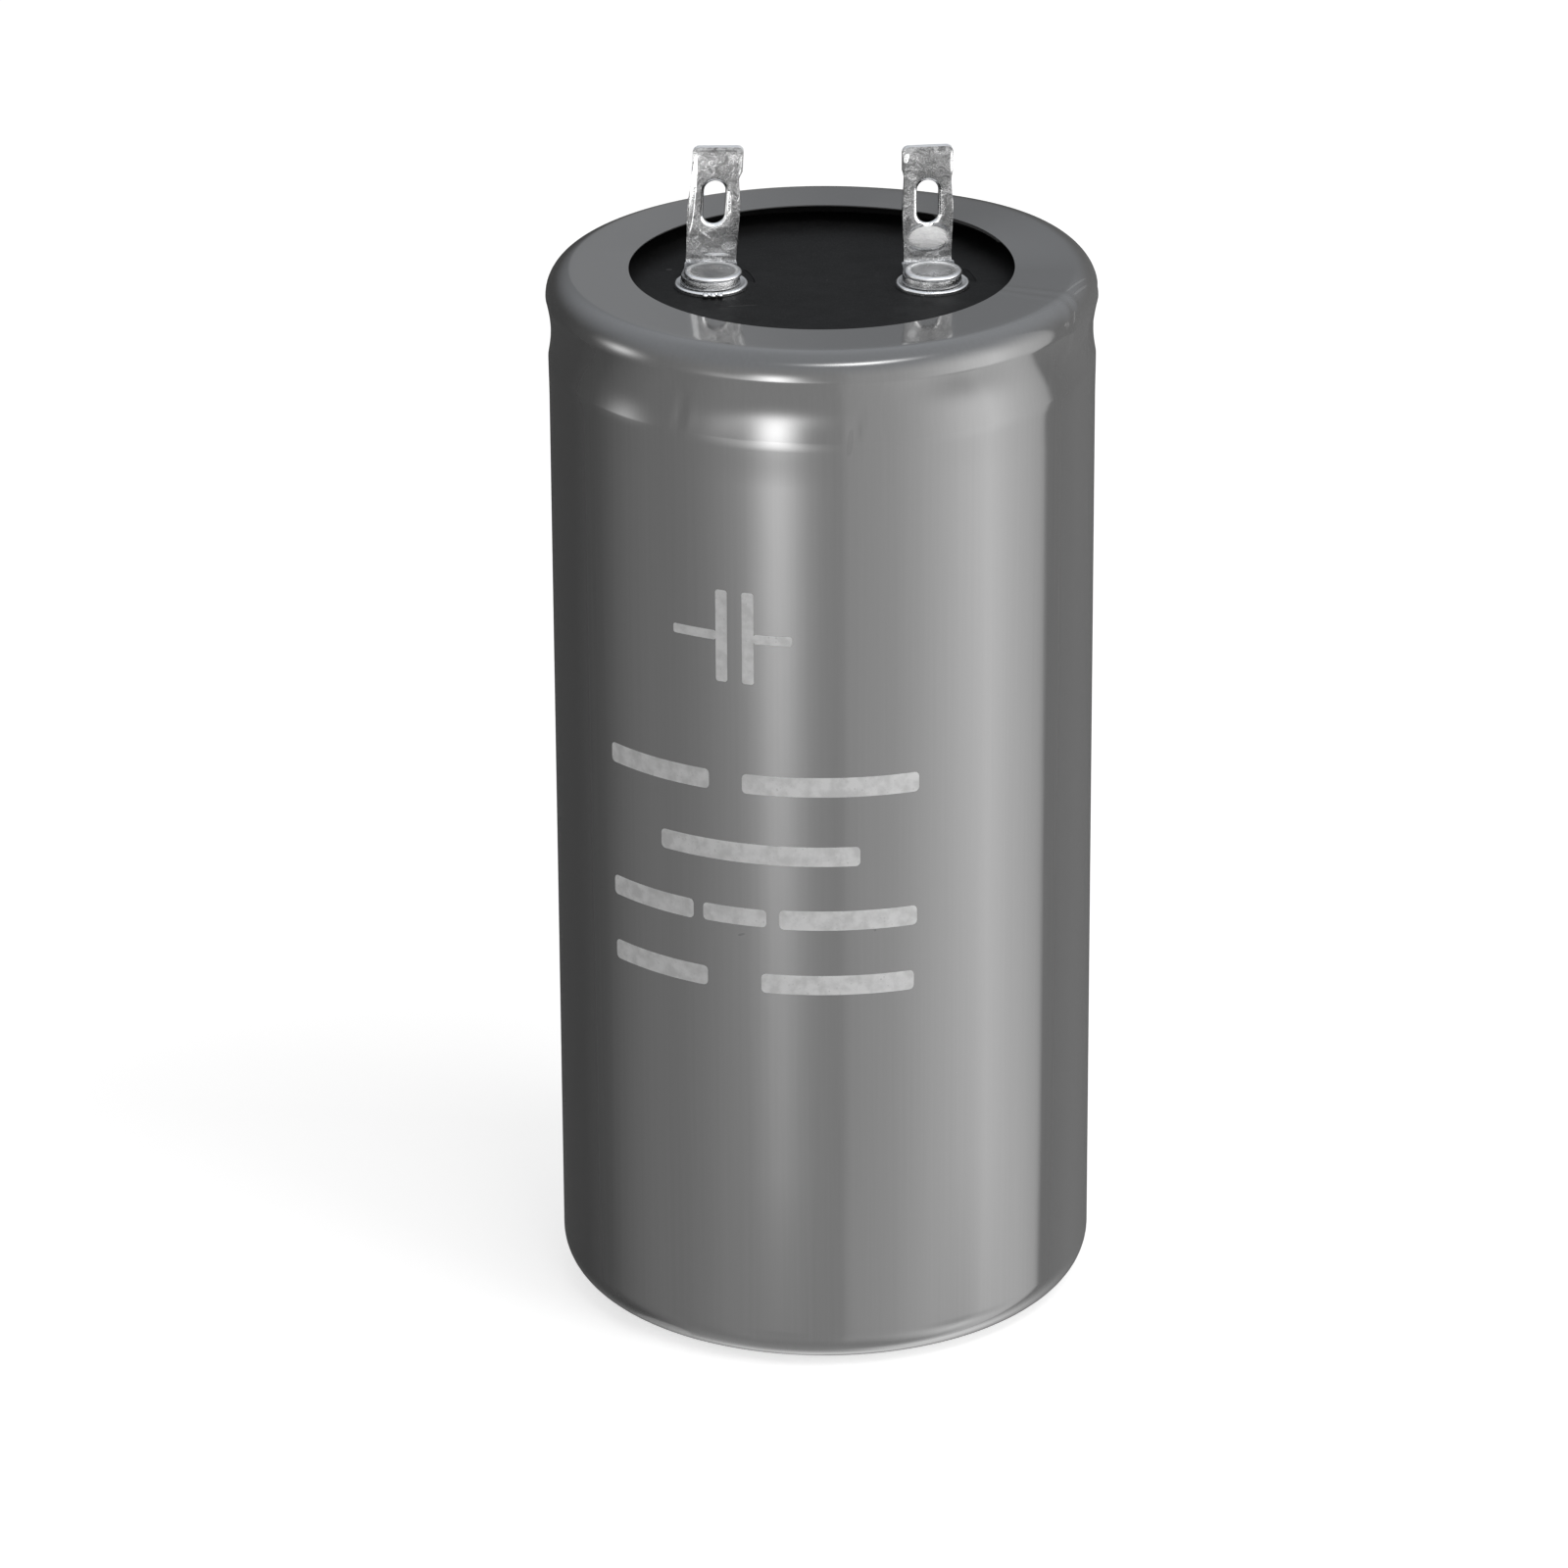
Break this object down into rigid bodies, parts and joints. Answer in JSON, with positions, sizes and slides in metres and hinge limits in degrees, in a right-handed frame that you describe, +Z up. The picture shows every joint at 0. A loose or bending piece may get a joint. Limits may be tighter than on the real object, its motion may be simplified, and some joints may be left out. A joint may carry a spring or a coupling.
{
  "type": "motor start capacitor",
  "caption": "Cylindrical motor start capacitor in a grey shrink sleeve, with a sunken black lid and two riveted, slotted solder lugs.",
  "frame": {"origin": "centre of the base, on the surface that the capacitor stands on", "axes": "+Z up the axis of the can towards the terminals; the two terminals lie along X and the blades of the lugs face -Y"},
  "size_m": [0.0504, 0.0504, 0.11],
  "materials": {
    "sleeve": "glossy heat-shrunk film",
    "sleeve_disc": "plain sheet",
    "can_aluminium": "drawn",
    "lid_board": "laminate",
    "lid_rubber": "matt",
    "washer": "bright",
    "lug_tinned": "hot tinned, hammered",
    "rivet": "pressed",
    "tab": "rolled",
    "winding": "paper edges",
    "wrap": "paper tape",
    "card": "pressed card"
  },
  "bodies": {
    "root": {"shrink_sleeve": "sleeve", "base_disc": "sleeve_disc", "can": "can_aluminium", "lid_board": "lid_board", "lid_rubber": "lid_rubber", "washer_left": "washer", "washer_right": "washer", "lug_left": "lug_tinned", "lug_right": "lug_tinned", "rivet_left": "rivet", "rivet_right": "rivet", "tab_left": "tab", "tab_right": "tab", "winding": "winding", "winding_wrap": "wrap", "top_insulator": "card", "bottom_insulator": "card"}
  },
  "joints": []
}
